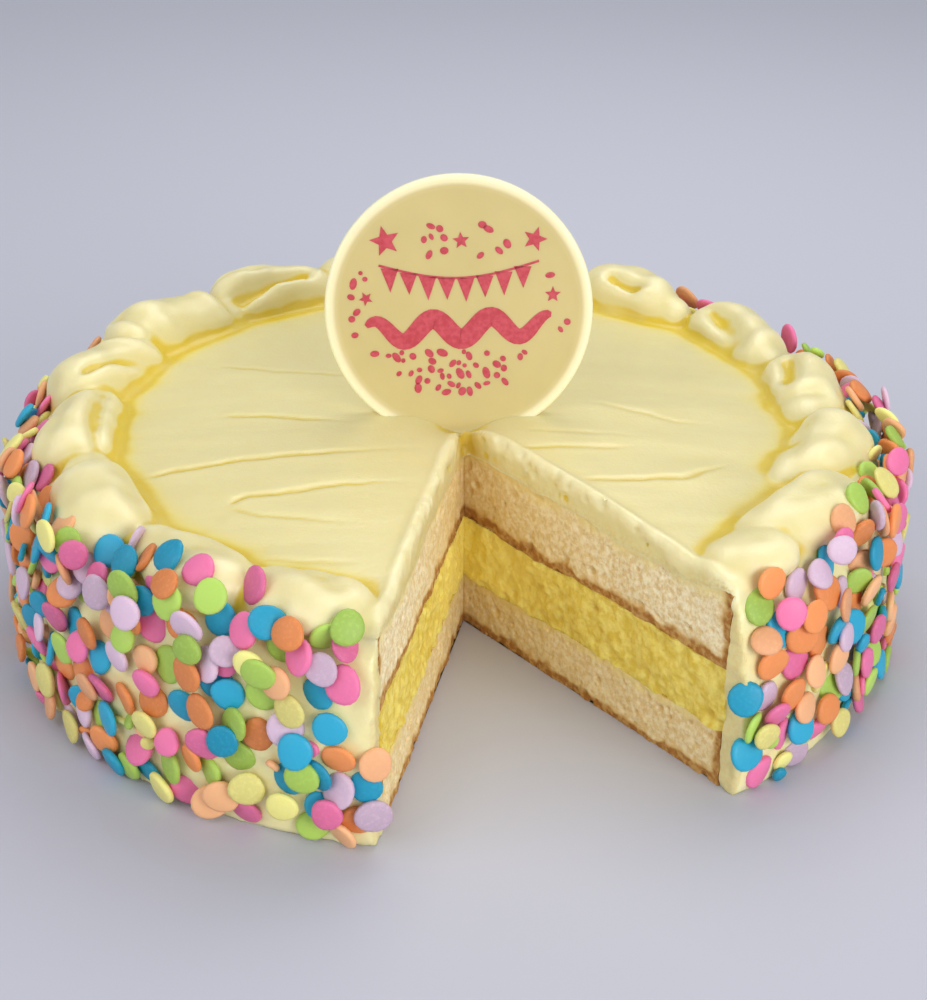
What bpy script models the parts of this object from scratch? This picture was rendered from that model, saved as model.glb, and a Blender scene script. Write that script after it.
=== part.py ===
"""Round two-layer birthday cake: iced, bordered with piped dollops, coated with disc sprinkles,
one slice cut out, and a round plaque standing behind the tip of the cut.

Sizes are in millimetres and become metres where a mesh is made. The origin is the middle of the
cake's foot and +Z is up. Angles go round the cake in degrees, from the front (-Y) towards +X.
"""

import math
import random

import bmesh
import bpy
from mathutils import Matrix, Vector

MM = 0.001
GAP = 0.3

# Cake layers, from the foot up
LOWER_RADIUS = 98.4
FILLING_RADIUS = 99.2
UPPER_RADIUS = 98.6
LOWER_TOP = 13.4
FILLING_TOP = 28.7
UPPER_TOP = 46.0
PAN_CORNER = 3.0
FILLING_CORNER = 0.8
CORNER_STEPS = 3
ROUND_SIDES = 48

# Icing coat
COAT_FOOT_RADIUS = 105.0
COAT_MIDDLE_RADIUS = 106.0
COAT_MIDDLE_HEIGHT = 20.0
COAT_SHOULDER_RADIUS = 100.8
COAT_SHOULDER_HEIGHT = 46.0
COAT_SIDE_STEPS = 5
SHOULDER_BEVEL = 3.0
RIM_HEIGHT = 49.5
CROWN = 4.4
CROWN_RADIUS = 86.0
TOP_RINGS = (86, 66, 44, 26, 17, 10, 5)

# The cut: a wedge from its tip out past the icing
CUT_TIP = (2.2, -11.5)
CUT_ANGLES = (-10.8, 38.0)
CUT_REACH = 150.0
BELOW_FOOT = 20.0
ABOVE_TOP = 100.0

# Plaque: a disc that leans back, its foot set into the icing behind the tip of the cut
PLAQUE_RADIUS = 31.2
PLAQUE_THICKNESS = 3.0
PLAQUE_BEVEL = 0.8
PLAQUE_LEAN = 12.0
PLAQUE_FOOT = (0.9, -7.8, 47.4)
PLAQUE_SIDES = 48

# Hollow that the plaque's foot presses into the icing
DIP_PLACE = (1.5, -8.0)
DIP_DEPTH = 4.2
DIP_SIZE = 7.5

# Border dollops: angle, middle's radius, half length along the rim, half width, height over the rim
DOLLOPS = (
    (-19, 93.0, 15, 10.5, 7.0),
    (-36, 93.0, 18, 11.0, 8.5),
    (-59, 91.0, 22, 12.0, 10.5),
    (-82, 88.5, 20, 11.0, 11.5),
    (-103, 89.5, 20, 11.5, 12.5),
    (-125, 91.5, 22, 12.0, 13.5),
    (-147, 92.5, 20, 12.0, 14.0),
    (-168, 91.0, 22, 12.0, 11.5),
    (168, 90.5, 22, 12.0, 11.5),
    (146, 90.0, 19, 12.0, 13.0),
    (121, 88.5, 20, 11.5, 10.5),
    (97, 87.0, 19, 11.0, 10.0),
    (76, 88.0, 17, 10.5, 9.0),
    (69, 82.5, 9, 7.0, 5.0),
    (55, 91.5, 19, 12.0, 8.5),
    (42, 92.0, 10, 10.0, 5.0),
)
DOLLOP_DEPTH = 5.0
DOLLOP_STATIONS = 8
DOLLOP_SIDES = 8
DOLLOP_TAIL = 0.4
DOLLOP_SKEW = 11.0
DOLLOP_FULLNESS = 3.0
DIMPLE_DEPTH = 0.32
DIMPLE_PLACE = (0.35, -0.15)
DIMPLE_SIZE = 0.38

# Sprinkles: thin discs over the side, each new one in the widest gap of a few random tries
SPRINKLES = 140
SPRINKLE_SEED = 7
SPRINKLE_TRIES = 24
SPRINKLE_SIDES = 8
SPRINKLE_RADII = (3.5, 4.1)
SPRINKLE_THICKNESS = 1.9
SPRINKLE_BAND = (5.0, 44.5)
SPRINKLE_TILT = 24.0
SPRINKLE_PROUD = 0.7
CUT_CLEARANCE = 0.6

# Colour, roughness and metallic value of each material
FINISHES = {
    "sponge": ((0.80, 0.62, 0.36), 0.85, 0.0),
    "custard_filling": ((0.78, 0.60, 0.10), 0.5, 0.0),
    "buttercream": ((0.90, 0.84, 0.50), 0.42, 0.0),
    "white_chocolate": ((0.88, 0.80, 0.48), 0.35, 0.0),
}


def clear_scene():
    for thing in list(bpy.data.objects):
        bpy.data.objects.remove(thing, do_unlink=True)


def material(name):
    """The named finish as a Principled BSDF material, made once."""
    made = bpy.data.materials.get(name)
    if made:
        return made
    colour, roughness, metallic = FINISHES[name]
    made = bpy.data.materials.new(name)
    made.use_nodes = True
    shader = made.node_tree.nodes["Principled BSDF"]
    shader.inputs["Base Color"].default_value = (*colour, 1.0)
    shader.inputs["Roughness"].default_value = roughness
    shader.inputs["Metallic"].default_value = metallic
    return made


def direction(angle):
    """Unit vector from the cake's axis at an angle in degrees."""
    turn = math.radians(angle)
    return Vector((math.sin(turn), -math.cos(turn), 0.0))


def object_from(bm, name, finish):
    """A named object from a bmesh in millimetres, its faces turned outwards."""
    bmesh.ops.scale(bm, vec=(MM, MM, MM), verts=bm.verts)
    bmesh.ops.recalc_face_normals(bm, faces=bm.faces)
    mesh = bpy.data.meshes.new(name)
    bm.to_mesh(mesh)
    bm.free()
    mesh.materials.append(material(finish))
    made = bpy.data.objects.new(name, mesh)
    bpy.context.scene.collection.objects.link(made)
    return made


def skin(bm, rings, sides):
    """Faces between each ring of points and the next. A ring may be a single point."""
    for first, second in zip(rings, rings[1:]):
        for step in range(sides):
            after = (step + 1) % sides
            corners = [first[step % len(first)], first[after % len(first)]]
            corners += [second[after % len(second)], second[step % len(second)]]
            bm.faces.new(dict.fromkeys(corners))


def turned(name, finish, profile, sides=ROUND_SIDES):
    """A solid of revolution. The profile goes (radius, height) from one point on the axis to another."""
    bm = bmesh.new()
    rings = []
    for radius, height in profile:
        if radius == 0:
            rings.append([bm.verts.new((0, 0, height))])
            continue
        steps = (direction(360 * step / sides) * radius for step in range(sides))
        rings.append([bm.verts.new((step.x, step.y, height)) for step in steps])
    skin(bm, rings, sides)
    return object_from(bm, name, finish)


def rounded_layer(name, finish, radius, foot, top, corner):
    """A flat round layer with its lower outer corner rounded."""
    profile = [(0, foot), (radius - corner, foot)]
    for number in range(1, CORNER_STEPS + 1):
        turn = math.pi / 2 * number / CORNER_STEPS
        profile.append((radius - corner + corner * math.sin(turn), foot + corner - corner * math.cos(turn)))
    profile += [(radius, top), (0, top)]
    return turned(name, finish, profile)


def combine(base, other, operation, solver="EXACT"):
    """Applies a Boolean with another object and removes that object."""
    modifier = base.modifiers.new(operation.title(), "BOOLEAN")
    modifier.operation = operation
    modifier.solver = solver
    modifier.object = other
    bake(base)
    bpy.data.objects.remove(other, do_unlink=True)


def bake(base):
    """Replaces an object's mesh by its mesh with the modifiers applied."""
    graph = bpy.context.evaluated_depsgraph_get()
    applied = bpy.data.meshes.new_from_object(base.evaluated_get(graph))
    base.modifiers.clear()
    base.data = applied


def wedge():
    """The space of the missing slice, as a tall prism."""
    tip = Vector((*CUT_TIP, 0.0))
    outline = [tip]
    for share in (0, 0.5, 1):
        angle = CUT_ANGLES[0] + share * (CUT_ANGLES[1] - CUT_ANGLES[0])
        outline.append(tip + direction(angle) * CUT_REACH)
    bm = bmesh.new()
    floor = [bm.verts.new(corner - Vector((0, 0, BELOW_FOOT))) for corner in outline]
    base = bm.faces.new(floor)
    walls = bmesh.ops.extrude_face_region(bm, geom=[base])["geom"]
    risen = [part for part in walls if isinstance(part, bmesh.types.BMVert)]
    bmesh.ops.translate(bm, vec=(0, 0, BELOW_FOOT + ABOVE_TOP), verts=risen)
    return object_from(bm, "missing_slice", "sponge")


def core():
    """The room that the layers take inside the icing, with the gap round them."""
    profile = [
        (0, -BELOW_FOOT),
        (LOWER_RADIUS + GAP, -BELOW_FOOT),
        (LOWER_RADIUS + GAP, LOWER_TOP + GAP / 2),
        (FILLING_RADIUS + GAP, LOWER_TOP + GAP / 2),
        (FILLING_RADIUS + GAP, FILLING_TOP + GAP / 2),
        (UPPER_RADIUS + GAP, FILLING_TOP + GAP / 2),
        (UPPER_RADIUS + GAP, UPPER_TOP + GAP),
        (0, UPPER_TOP + GAP),
    ]
    return turned("core", "buttercream", profile)


def top_height(radius):
    """Height of the icing's crowned top at a distance from the axis."""
    share = min(radius / CROWN_RADIUS, 1)
    return RIM_HEIGHT + CROWN * (1 - share * share)


def press_dip(mesh):
    """Sinks the icing's top round the plaque's foot."""
    for vert in mesh.vertices:
        if vert.co.z < RIM_HEIGHT * MM:
            continue
        away = math.hypot(vert.co.x / MM - DIP_PLACE[0], vert.co.y / MM - DIP_PLACE[1])
        vert.co.z -= DIP_DEPTH * math.exp(-((away / DIP_SIZE) ** 2)) * MM


def side_radius(height):
    """Radius of the icing's side at a height: it bellies out a little."""
    span = COAT_MIDDLE_HEIGHT if height < COAT_MIDDLE_HEIGHT else COAT_SHOULDER_HEIGHT - COAT_MIDDLE_HEIGHT
    end = COAT_FOOT_RADIUS if height < COAT_MIDDLE_HEIGHT else COAT_SHOULDER_RADIUS
    share = (height - COAT_MIDDLE_HEIGHT) / span
    return COAT_MIDDLE_RADIUS - (COAT_MIDDLE_RADIUS - end) * share * share


def coat():
    """The icing before the cuts: crowned top, rounded shoulder and bellied side, filled in."""
    profile = [(0, 0)]
    for number in range(COAT_SIDE_STEPS + 1):
        height = COAT_SHOULDER_HEIGHT * number / COAT_SIDE_STEPS
        profile.append((side_radius(height), height))
    profile.append((COAT_SHOULDER_RADIUS - SHOULDER_BEVEL, RIM_HEIGHT))
    for radius in (*TOP_RINGS, 0):
        profile.append((radius, top_height(radius)))
    solid = turned("icing", "buttercream", profile)
    press_dip(solid.data)
    return solid


def dollop_point(station, turn, half_length, half_width, height, bend):
    """A point of a dollop's skin: station runs from its tail at -1 to its head at 1, turn round it."""
    fullness = (1 - abs(station) ** DOLLOP_FULLNESS) ** 0.5
    girth = fullness * (1 - DOLLOP_TAIL * (1 - station) / 2)
    across = girth * math.cos(turn)
    up = girth * math.sin(turn)
    if up > 0:
        off = math.hypot(station - DIMPLE_PLACE[0], across - DIMPLE_PLACE[1])
        up -= DIMPLE_DEPTH * math.exp(-((off / DIMPLE_SIZE) ** 2)) * girth
    lift = up * (height if up > 0 else DOLLOP_DEPTH)
    return Vector((station * half_length, across * half_width - bend * station * station, lift))


def dollop(angle, middle, half_length, half_width, height):
    """One piped dollop: a fat head that tapers to its tail, bent along the rim, dimpled where it curls."""
    bend = half_length * half_length / (2 * middle)
    sizes = (half_length, half_width, height, bend)
    bm = bmesh.new()
    rings = [[bm.verts.new(dollop_point(-1, 0, *sizes))]]
    for number in range(1, DOLLOP_STATIONS):
        station = -math.cos(math.pi * number / DOLLOP_STATIONS)
        turns = (2 * math.pi * side / DOLLOP_SIDES for side in range(DOLLOP_SIDES))
        rings.append([bm.verts.new(dollop_point(station, turn, *sizes)) for turn in turns])
    rings.append([bm.verts.new(dollop_point(1, 0, *sizes))])
    skin(bm, rings, DOLLOP_SIDES)
    turn = Matrix.Rotation(math.radians(angle - DOLLOP_SKEW), 4, "Z") @ Matrix.Diagonal((1, -1, 1, 1))
    place = Matrix.Translation(direction(angle) * middle + Vector((0, 0, RIM_HEIGHT)))
    bmesh.ops.transform(bm, matrix=place @ turn, verts=bm.verts)
    return object_from(bm, f"dollop_{angle}", "buttercream")


def plaque_disc(name, finish, grow):
    """The plaque's disc, grown by a clearance: made flat about Z, then stood up behind the cut."""
    radius = PLAQUE_RADIUS + grow
    half = PLAQUE_THICKNESS / 2 + grow
    profile = [
        (0, -half),
        (radius - PLAQUE_BEVEL, -half),
        (radius, PLAQUE_BEVEL - half),
        (radius, half - PLAQUE_BEVEL),
        (radius - PLAQUE_BEVEL, half),
        (0, half),
    ]
    disc = turned(name, finish, profile, PLAQUE_SIDES)
    stand = Matrix.Rotation(math.radians(90 - PLAQUE_LEAN), 4, "X")
    centre = Vector(PLAQUE_FOOT) + Vector(
        (
            0,
            math.sin(math.radians(PLAQUE_LEAN)) * PLAQUE_RADIUS,
            math.cos(math.radians(PLAQUE_LEAN)) * PLAQUE_RADIUS,
        )
    )
    disc.data.transform(Matrix.Translation(centre * MM) @ stand)
    return disc


def clear_of_cut(point, reach):
    """Whether a sprinkle at a point stays out of the missing slice."""
    offset = point - Vector((*CUT_TIP, point.z))
    for angle, side in zip(CUT_ANGLES, (-1, 1)):
        edge = direction(angle)
        outside = side * (edge.x * offset.y - edge.y * offset.x)
        if outside > reach:
            return True
    return False


def spread_places():
    """Angle and height of each sprinkle, in the order in which they fill the side evenly."""
    draw = random.Random(SPRINKLE_SEED)
    placed = []
    for _ in range(SPRINKLES):
        best, widest = None, -1.0
        for _ in range(SPRINKLE_TRIES):
            angle, height = draw.uniform(0, 360), draw.uniform(*SPRINKLE_BAND)
            point = direction(angle) * side_radius(height) + Vector((0, 0, height))
            if not clear_of_cut(point, SPRINKLE_RADII[1] + CUT_CLEARANCE):
                continue
            gap = min(((point - other[2]).length for other in placed), default=math.inf)
            if gap > widest:
                best, widest = (angle, height, point), gap
        placed.append(best)
    return placed


def side_lean(height):
    """Angle by which the icing's side leans in at a height, in degrees."""
    return math.degrees(math.atan(side_radius(height - 0.5) - side_radius(height + 0.5)))


def sprinkle_places():
    """Matrix and radius of each sprinkle: flat to the side, then turned and tilted a little."""
    draw = random.Random(SPRINKLE_SEED)
    places = []
    for angle, height, point in spread_places():
        radius = draw.uniform(*SPRINKLE_RADII)
        nod, sway = (draw.uniform(-SPRINKLE_TILT, SPRINKLE_TILT) for _ in range(2))
        nod -= side_lean(height)
        place = Matrix.Translation(point + direction(angle) * SPRINKLE_PROUD)
        place @= Matrix.Rotation(math.radians(angle), 4, "Z")
        place @= Matrix.Rotation(math.radians(90 + nod), 4, "X")
        place @= Matrix.Rotation(math.radians(sway), 4, "Y")
        places.append((place, radius))
    return places


def sprinkle(number, place, radius):
    """One disc sprinkle as a prism."""
    bm = bmesh.new()
    bmesh.ops.create_cone(
        bm,
        cap_ends=True,
        segments=SPRINKLE_SIDES,
        radius1=radius,
        radius2=radius,
        depth=SPRINKLE_THICKNESS,
        matrix=place,
    )
    return object_from(bm, f"sprinkle_{number}", "buttercream")


def fuse(base, pieces):
    """One Boolean union with all the pieces, which are then removed."""
    group = bpy.data.collections.new("pieces")
    bpy.context.scene.collection.children.link(group)
    for piece in pieces:
        bpy.context.scene.collection.objects.unlink(piece)
        group.objects.link(piece)
    modifier = base.modifiers.new("Fuse", "BOOLEAN")
    modifier.operation = "UNION"
    modifier.solver = "MANIFOLD"
    modifier.operand_type = "COLLECTION"
    modifier.collection = group
    bake(base)
    for piece in pieces:
        bpy.data.objects.remove(piece, do_unlink=True)
    bpy.data.collections.remove(group)


def build_layers():
    """Lower sponge, filling and upper sponge, each with the slice cut out."""
    layers = (
        ("sponge_lower", "sponge", LOWER_RADIUS, 0.0, LOWER_TOP, PAN_CORNER),
        ("filling", "custard_filling", FILLING_RADIUS, LOWER_TOP + GAP, FILLING_TOP, FILLING_CORNER),
        ("sponge_upper", "sponge", UPPER_RADIUS, FILLING_TOP + GAP, UPPER_TOP, PAN_CORNER),
    )
    for name, finish, radius, foot, top, corner in layers:
        layer = rounded_layer(name, finish, radius, foot, top, corner)
        combine(layer, wedge(), "DIFFERENCE")


def build_icing():
    """Coat and border in one, hollowed for the layers, cut, slotted for the plaque, then sprinkled."""
    icing = coat()
    fuse(icing, [dollop(*sizes) for sizes in DOLLOPS])
    combine(icing, core(), "DIFFERENCE", "MANIFOLD")
    combine(icing, wedge(), "DIFFERENCE", "MANIFOLD")
    combine(icing, plaque_disc("slot", "white_chocolate", GAP), "DIFFERENCE", "MANIFOLD")
    fuse(icing, [sprinkle(number, *place) for number, place in enumerate(sprinkle_places())])


def main():
    clear_scene()
    build_layers()
    build_icing()
    plaque_disc("plaque", "white_chocolate", 0.0)


main()
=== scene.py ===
"""Looks of a round birthday layer cake with a slice cut out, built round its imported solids.

Sizes are in millimetres and become metres where a mesh is made. The origin is the middle of the
cake's foot and +Z is up. Angles go round the cake in degrees, from the front (-Y) towards +X.
"""

import itertools
import math
import random

import bmesh
import bpy
import numpy as np
from mathutils import Matrix, Vector
from mathutils.bvhtree import BVHTree


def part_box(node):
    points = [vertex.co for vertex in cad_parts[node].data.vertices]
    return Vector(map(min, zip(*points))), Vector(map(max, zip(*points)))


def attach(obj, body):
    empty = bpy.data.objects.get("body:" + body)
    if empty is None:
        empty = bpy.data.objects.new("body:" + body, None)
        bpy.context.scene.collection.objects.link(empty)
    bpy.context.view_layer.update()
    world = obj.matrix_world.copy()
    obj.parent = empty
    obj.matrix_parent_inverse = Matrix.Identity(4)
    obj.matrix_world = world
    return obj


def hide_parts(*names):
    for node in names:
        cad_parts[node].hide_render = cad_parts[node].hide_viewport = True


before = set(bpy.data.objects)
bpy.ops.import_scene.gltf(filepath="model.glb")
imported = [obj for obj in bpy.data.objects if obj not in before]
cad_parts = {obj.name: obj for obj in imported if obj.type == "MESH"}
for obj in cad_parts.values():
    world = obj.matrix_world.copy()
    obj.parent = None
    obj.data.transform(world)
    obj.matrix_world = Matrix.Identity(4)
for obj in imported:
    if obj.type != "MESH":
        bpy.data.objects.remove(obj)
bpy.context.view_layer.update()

MM = 0.001
PICTURE = (927, 1000)


def top_and_radius(name):
    """Highest point of a round solid and its radius, in mm."""
    low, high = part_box(name)
    return high.z / MM, -low.x / MM


LOWER_TOP, LOWER_RADIUS = top_and_radius("sponge_lower")
FILLING_TOP, FILLING_RADIUS = top_and_radius("filling")
UPPER_TOP, UPPER_RADIUS = top_and_radius("sponge_upper")

# Camera fitted to the photo
FOCAL_MM = 66.6
SENSOR_MM = 36.0
CAMERA_PLACE = (2.134, -405.398, 232.224)
CAMERA_PITCH = 63.203
CAMERA_ROLL = 0.1435

# Icing
RIM_HEIGHT = UPPER_TOP + 3.5
CROWN = 4.4
CROWN_RADIUS = 86.0
COAT_FOOT_RADIUS = 105.0
COAT_MIDDLE_RADIUS = 106.0
COAT_MIDDLE_HEIGHT = 20.0
COAT_SHOULDER_RADIUS = 100.8
COAT_SHOULDER_HEIGHT = 46.0
SHOULDER_BEVEL = 3.0
COAT_UNDER_SPRINKLES = 1.4
COAT_SIDES = 240
# Grids that the icing is remeshed on, before and after the cut
UNION_VOXEL = 0.9
ICING_VOXEL = 0.8
OVERLAP = 0.15
SHARP_ANGLE = math.radians(55)

# Layers: how far apart the points on a ray of the plan are, and the gap below the lower sponge
SPONGE_STEP = 0.36
CURD_STEP = 0.5
SPONGE_FOOT = 0.05

# The cut
CUT_TIP = np.array((2.2, -11.5))
CUT_ANGLES = (-10.8, 38.0)
CUT_REACH = 150.0
BELOW_FOOT = 20.0
ABOVE_TOP = 100.0
ICING_PROUD = 0.05
# Angles between the rays of a layer's plan and the nearer wall of the cut, and the room for the layers
WALL_STEPS = (0, 0.5, 1.2, 2.5, 5, 9, 15, 23, 33, 45, 59, 75, 92, 110, 130)
CORE_RINGS = 90
CORE_GAP = 0.2

# Hollow round the plaque's foot
DIP_PLACE = (1.5, -8.0)
DIP_DEPTH = 4.2
DIP_SIZE = 7.5

# Plaque, and the raised design on its face
PLAQUE_RADIUS = 31.2
PLAQUE_THICKNESS = 3.0
PLAQUE_LEAN = 12.0
PLAQUE_FOOT = (0.9, -7.8, 47.4)
PLAQUE_SIDES = 128
PLAQUE_EDGE = 0.85
PLAQUE_DISH = 0.3
PRINT_DEPTH = 0.1
PRINT_RISE = 0.12
LINE_POINTS = 60
STRING_SPAN, STRING_HEIGHT, STRING_SAG, STRING_TILT, STRING_WIDTH = 37, 10.2, 3.4, 1.2, 0.55
FLAGS, FIRST_FLAG, FLAG_STEP, FLAG_HALF, FLAG_DROP = 8, 4, 7, 2.05, 5.6
WAVE_SPAN, WAVE_HEIGHT, WAVE_SWING, WAVE_TURNS, WAVE_WIDTH = 43, -5.4, 2.5, 3.2, 3.7
# Stars: place, size and turn
STARS = (
    (-17.0, 15.8, 3.6, 0.25), (17.5, 16.4, 2.9, -0.3), (0.5, 16.0, 2.0, 0.1), (-21.5, 2.5, 1.7, 0.5),
    (21.8, 3.6, 1.9, 0.0),
)
STAR_POINTS = 5
STAR_NOTCH = 0.45
DOT_SEED = 5
DOT_TRIES = 900
MOST_MARKS = 70
MARK_GAP = 0.8

# Border dollops: angle, middle's radius, half length along the rim, half width, height over the rim,
# then creases as (station, across) of both ends, width and depth
DOLLOPS = (
    (-19, 93.0, 15, 10.5, 7.0, ((-0.3, -0.5, 0.5, -0.2, 0.2, 0.12),)),
    (-36, 93.0, 18, 11.0, 8.5, ((-0.4, 0.1, 0.4, -0.3, 0.2, 0.12),)),
    (-59, 91.0, 22, 12.0, 10.5, ((-0.55, -0.6, -0.4, 0.5, 0.16, 0.16), (0.2, -0.6, 0.8, -0.5, 0.2, 0.12))),
    (-82, 88.5, 20, 11.0, 11.5, ((-0.6, -0.25, 0.7, -0.6, 0.12, 0.22), (-0.1, 0.2, 0.6, 0.4, 0.2, 0.1))),
    (-103, 89.5, 20, 11.5, 12.5,
     ((-0.5, -0.7, 0.6, -0.25, 0.12, 0.24), (-0.75, -0.3, -0.45, 0.3, 0.1, 0.18))),
    (-125, 91.5, 22, 12.0, 13.5, ((-0.75, -0.9, -0.6, 0.3, 0.1, 0.28), (0.5, -0.8, 0.7, 0.4, 0.13, 0.2))),
    (-147, 92.5, 20, 12.0, 14.0, ((-0.35, -0.25, 0.9, -0.8, 0.15, 0.42), (0.3, 0.0, 0.9, 0.2, 0.13, 0.15))),
    (-168, 91.0, 22, 12.0, 11.5, ((-0.3, -0.4, 0.4, -0.6, 0.2, 0.2),)),
    (168, 90.5, 22, 12.0, 11.5, ((-0.3, -0.4, 0.4, -0.6, 0.2, 0.2),)),
    (146, 90.0, 19, 12.0, 13.0,
     ((-0.15, -0.45, 0.25, -0.45, 0.11, 0.36), (-0.75, -0.6, -0.55, 0.5, 0.14, 0.15))),
    (121, 88.5, 20, 11.5, 10.5,
     ((-0.25, -0.5, 0.45, -0.4, 0.24, 0.34), (-0.75, -0.3, -0.55, 0.5, 0.12, 0.15))),
    (97, 87.0, 19, 11.0, 10.0, ((0.1, -0.5, 0.5, -0.35, 0.22, 0.34), (-0.5, -0.9, -0.4, 0.2, 0.14, 0.15))),
    (76, 88.0, 17, 10.5, 9.0, ((-0.3, -0.6, 0.3, -0.6, 0.15, 0.18),)),
    (69, 82.5, 9, 7.0, 5.0, ()),
    (55, 91.5, 19, 12.0, 8.5, ((-0.3, -0.7, 0.6, -0.75, 0.18, 0.12), (0.0, 0.0, 0.6, 0.1, 0.2, 0.12))),
    (42, 92.0, 10, 10.0, 5.0, ()),
)
DOLLOP_DEPTH = 5.0
DOLLOP_STATIONS = 44
DOLLOP_SIDES = 56
DOLLOP_TAIL = 0.4
DOLLOP_SKEW = 11.0
DOLLOP_FULLNESS = 3.0

# Spatula strokes over the top: plan points, height of the crest, width of its steep side, fade behind it
STROKES = (
    (((-69.9, -35.6), (-59.9, -32.3), (-46.0, -29.1), (-24.7, -26.8), (-2.1, -24.4)), 0.9, 1.3, 9.0),
    (((-48.9, -49.3), (-45.0, -46.2), (-37.8, -45.5), (-23.9, -42.0), (-5.2, -40.6)), 0.9, 1.2, 10.0),
    (((-48.7, -51.0), (-41.3, -54.6), (-31.5, -56.9), (-12.5, -59.6)), 0.5, 3.0, 8.0),
    (((-55.7, -4.8), (-46.0, -6.0), (-34.0, -8.9), (-20.5, -10.3)), 0.7, 1.2, 4.0),
    (((-62.0, 28.1), (-45.0, 21.2), (-28.5, 17.5), (-20.0, 17.0)), 0.5, 1.4, 6.0),
    (((-39.6, -71.9), (-30.3, -73.4), (-14.9, -74.0)), 0.4, 1.6, 7.0),
    (((30.9, 2.2), (46.3, -4.8), (51.9, -8.0), (63.6, -7.6)), 0.45, 1.8, 6.0),
    (((13.8, -24.6), (30.9, -23.6), (43.3, -22.6)), 0.6, 1.2, 5.0),
    (((27.1, -39.5), (41.2, -38.1), (51.2, -36.5), (58.0, -32.0), (64.5, -26.4)), 0.8, 1.2, 6.0),
    (((15.6, -15.7), (26.3, -16.4), (48.7, -16.6)), 0.4, 1.5, 4.0),
)

# Sprinkles
SPRINKLES = 3000
SPRINKLE_TRIES = 12
SPRINKLE_SEED = 11
SPRINKLE_SIDES = 18
SPRINKLE_REACH = 108.5
LANDMARK_SIZES = (3.5, 4.0)
DISC_SIZES = (3.2, 4.0)
SCRAP_SIZES = (1.5, 2.6)
THICKNESSES = (1.3, 1.75)
SINKS = (0.3, 0.9)
# How much the slopes of a sprinkle's plane scatter
LANDMARK_LEAN, FLAT_LEAN, STEEP_LEAN = 0.2, 0.28, 0.9
SCRAP_SHARE = 0.13
STEEP_SHARE = 0.3
# A sprinkle needs icing under a share of it, covers landmarks by no more than a share, sinks into
# others by no more than the give, and lies clear of a share of the icing and of the others under it
KNOWN_SHARE = 0.55
SHOWN_SHARE = 0.33
HARD_GIVE = 0.8
CLEAR_SHARE, HARD_SHARE = 0.97, 0.87
BURIED = 0.75
MOST_SLOPE_U, MOST_SLOPE_Z = 0.7, 0.9
STEEP_FROM = 0.3
# Icing at the cut's edges that stays bare from a height up
BARE_EDGE = 5.0
BARE_HEIGHT = 25.0
LEAST_SIDE_RADIUS = 95.0
# Map of the side, and the rays that find it
MAP_STEP = 0.5
MAP_RADIUS = 104.5
MAP_TOP = 62.0
AROUND = 2 * math.pi * MAP_RADIUS
RAY_FROM = 130.0
RAY_REACH = 40.0
# A sprinkle's section, as (share of its radius, share of its half thickness)
SPRINKLE_SECTION = (
    (0.0, 1.0), (0.78, 0.93), (0.95, 0.62), (1.0, 0.0), (0.95, -0.62), (0.78, -0.93), (0.0, -1.0),
)
# How high the sprinkles climb between two angles
SPRINKLE_TOPS = (
    (-180, -62, 49), (-62, -45, 53), (-45, -22, 55.5), (-22, 30, 51), (30, 50, 45), (50, 100, 51),
    (100, 180, 49),
)
COLOURS = {
    "blue": (0.006, 0.370, 0.590),
    "pink": (0.860, 0.180, 0.390),
    "lime": (0.430, 0.650, 0.105),
    "orange": (0.880, 0.290, 0.080),
    "peach": (0.960, 0.450, 0.215),
    "lilac": (0.720, 0.530, 0.680),
    "yellow": (0.920, 0.810, 0.260),
}
COLOUR_WEIGHTS = {"blue": 16, "pink": 17, "lime": 17, "orange": 15, "peach": 12, "lilac": 13, "yellow": 8}
# Places in the picture of sprinkles that stand out
LANDMARKS = {
    "blue": (
        (226, 615), (320, 693), (331, 726), (217, 680), (230, 690), (366, 786), (290, 778), (305, 783),
        (175, 554), (99, 593), (112, 551), (76, 625), (100, 658), (48, 694), (184, 704), (744, 754),
        (779, 630), (840, 685), (824, 561), (888, 518), (893, 597), (818, 748), (837, 716), (154, 784),
    ),
    "pink": (
        (258, 585), (256, 621), (348, 677), (197, 573), (156, 593), (52, 538), (154, 625), (143, 748),
        (191, 797), (85, 741), (793, 662), (758, 771), (815, 727), (778, 733), (865, 567), (913, 553),
        (249, 820),
    ),
    "lime": (
        (286, 642), (324, 636), (350, 621), (263, 692), (314, 826), (239, 755), (66, 575), (132, 571),
        (219, 590), (169, 665), (176, 764), (211, 771), (104, 716), (31, 671), (759, 608), (729, 792),
        (875, 599), (873, 435), (869, 478), (859, 501), (874, 703),
    ),
    "orange": (
        (258, 734), (340, 757), (356, 819), (44, 505), (66, 663), (126, 698), (154, 701), (182, 625),
        (767, 660), (788, 691), (817, 641), (861, 682), (763, 579), (816, 588), (888, 542), (864, 719),
    ),
    "peach": ((377, 755), (116, 623), (844, 522)),
    "lilac": (
        (287, 726), (342, 788), (26, 593), (123, 653), (75, 724), (764, 695), (794, 585), (841, 548),
        (841, 593), (855, 644), (877, 676), (899, 567), (790, 759), (805, 759),
    ),
    "yellow": ((251, 784), (818, 676), (871, 645), (846, 734), (856, 414)),
}

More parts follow.
